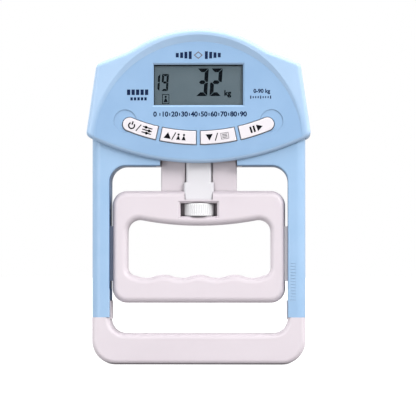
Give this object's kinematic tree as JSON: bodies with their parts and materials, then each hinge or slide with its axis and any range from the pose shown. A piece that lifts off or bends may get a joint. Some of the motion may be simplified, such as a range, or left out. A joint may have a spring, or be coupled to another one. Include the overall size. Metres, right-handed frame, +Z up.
{
  "type": "hand dynamometer",
  "caption": "Electronic hand grip dynamometer: domed display head on a rectangular frame, with a scalloped grip handle that slides on a knurled adjusting wheel.",
  "frame": {"origin": "middle of the underside of the base, at the centre of the overall depth", "axes": "+X to the right seen from the display side, +Y to the back, +Z up through the head"},
  "size_m": [0.1224, 0.028, 0.1832],
  "materials": {
    "blue_shell": "satin pale blue ABS moulding",
    "white_shell": "satin warm white ABS moulding",
    "stem_white": "smooth neutral white moulding",
    "wheel_white": "knurled pale grey-white nylon",
    "key_white": "smooth white key tops",
    "grey_nylon": "grey nylon",
    "clear_lens": "clear acrylic",
    "lcd": "grey-green reflective display",
    "zebra": "striped silicone",
    "board_green": "glass-epoxy with solder mask",
    "chip_black": "moulded epoxy",
    "nickel": "nickel-plated steel",
    "cell_aluminium": "milled aluminium",
    "gauge_film": "polyimide foil gauge under silicone",
    "zinc_steel": "zinc-plated sheet steel",
    "nut_brass": "turned brass",
    "spindle_steel": "rolled steel screw",
    "lead_red": "PVC insulated lead",
    "lead_black": "PVC insulated lead",
    "cell_wrap": "plain printed sleeve over steel can"
  },
  "bodies": {
    "frame": {"base_front_shell": "white_shell", "base_rear_shell": "white_shell", "base_screws": "nickel", "battery_1": "cell_wrap", "battery_2": "cell_wrap", "battery_contacts": "nickel", "battery_lead_left": "lead_black", "battery_lead_right": "lead_red", "battery_springs": "nickel", "board_screws": "nickel", "bracket_screws": "nickel", "cell_bracket": "zinc_steel", "cell_screws": "nickel", "circuit_board": "board_green", "cover_screws": "nickel", "display_lens": "clear_lens", "frame_front_shell": "blue_shell", "frame_rear_shell": "blue_shell", "guide_collar": "grey_nylon", "head_front_cover": "blue_shell", "key_domes": "nickel", "lcd_holder": "grey_nylon", "lcd_panel": "lcd", "leg_top_screws": "nickel", "load_cell": "cell_aluminium", "lock_nut": "nickel", "processor_chip": "chip_black", "sensor_leads": "lead_red", "spindle_nut": "nut_brass", "strain_gauges": "gauge_film", "zebra_connector": "zebra"},
    "handle": {"handle_front_shell": "white_shell", "handle_rear_shell": "white_shell", "guide_tongue": "white_shell", "stem": "stem_white", "side_guides": "grey_nylon", "handle_screws": "nickel", "thrust_washer": "grey_nylon"},
    "wheel": {"adjusting_wheel": "wheel_white", "spindle": "spindle_steel"},
    "battery_door": {"battery_door": "blue_shell"},
    "key_set": {"key_set": "key_white"},
    "key_up": {"key_up": "key_white"},
    "key_down": {"key_down": "key_white"},
    "key_start": {"key_start": "key_white"}
  },
  "joints": [
    {"name": "handle_slide", "type": "slide", "parent": "frame", "child": "handle", "axis": [0, 0, 1], "range_m": [-0.0107, 0.0078]},
    {"name": "wheel_spin", "type": "hinge", "parent": "handle", "child": "wheel", "pos_m": [0, 0, 0.0845], "axis": [0, 0, 1], "range_deg": [-2570, 1874]},
    {"name": "battery_door_hinge", "type": "hinge", "parent": "frame", "child": "battery_door", "pos_m": [0, 0.014, 0.1499], "axis": [-1, 0, 0], "range_deg": [0, 75]},
    {"name": "key_set_press", "type": "slide", "parent": "frame", "child": "key_set", "axis": [0, 1, 0], "range_m": [0, 0.0005], "stiffness_N_per_m": 1500},
    {"name": "key_up_press", "type": "slide", "parent": "frame", "child": "key_up", "axis": [0, 1, 0], "range_m": [0, 0.0005], "stiffness_N_per_m": 1500},
    {"name": "key_down_press", "type": "slide", "parent": "frame", "child": "key_down", "axis": [0, 1, 0], "range_m": [0, 0.0005], "stiffness_N_per_m": 1500},
    {"name": "key_start_press", "type": "slide", "parent": "frame", "child": "key_start", "axis": [0, 1, 0], "range_m": [0, 0.0005], "stiffness_N_per_m": 1500}
  ],
  "couplings": [
    {"joint": "wheel_spin", "follows": "handle_slide", "rad_per_m": 4188.8}
  ]
}
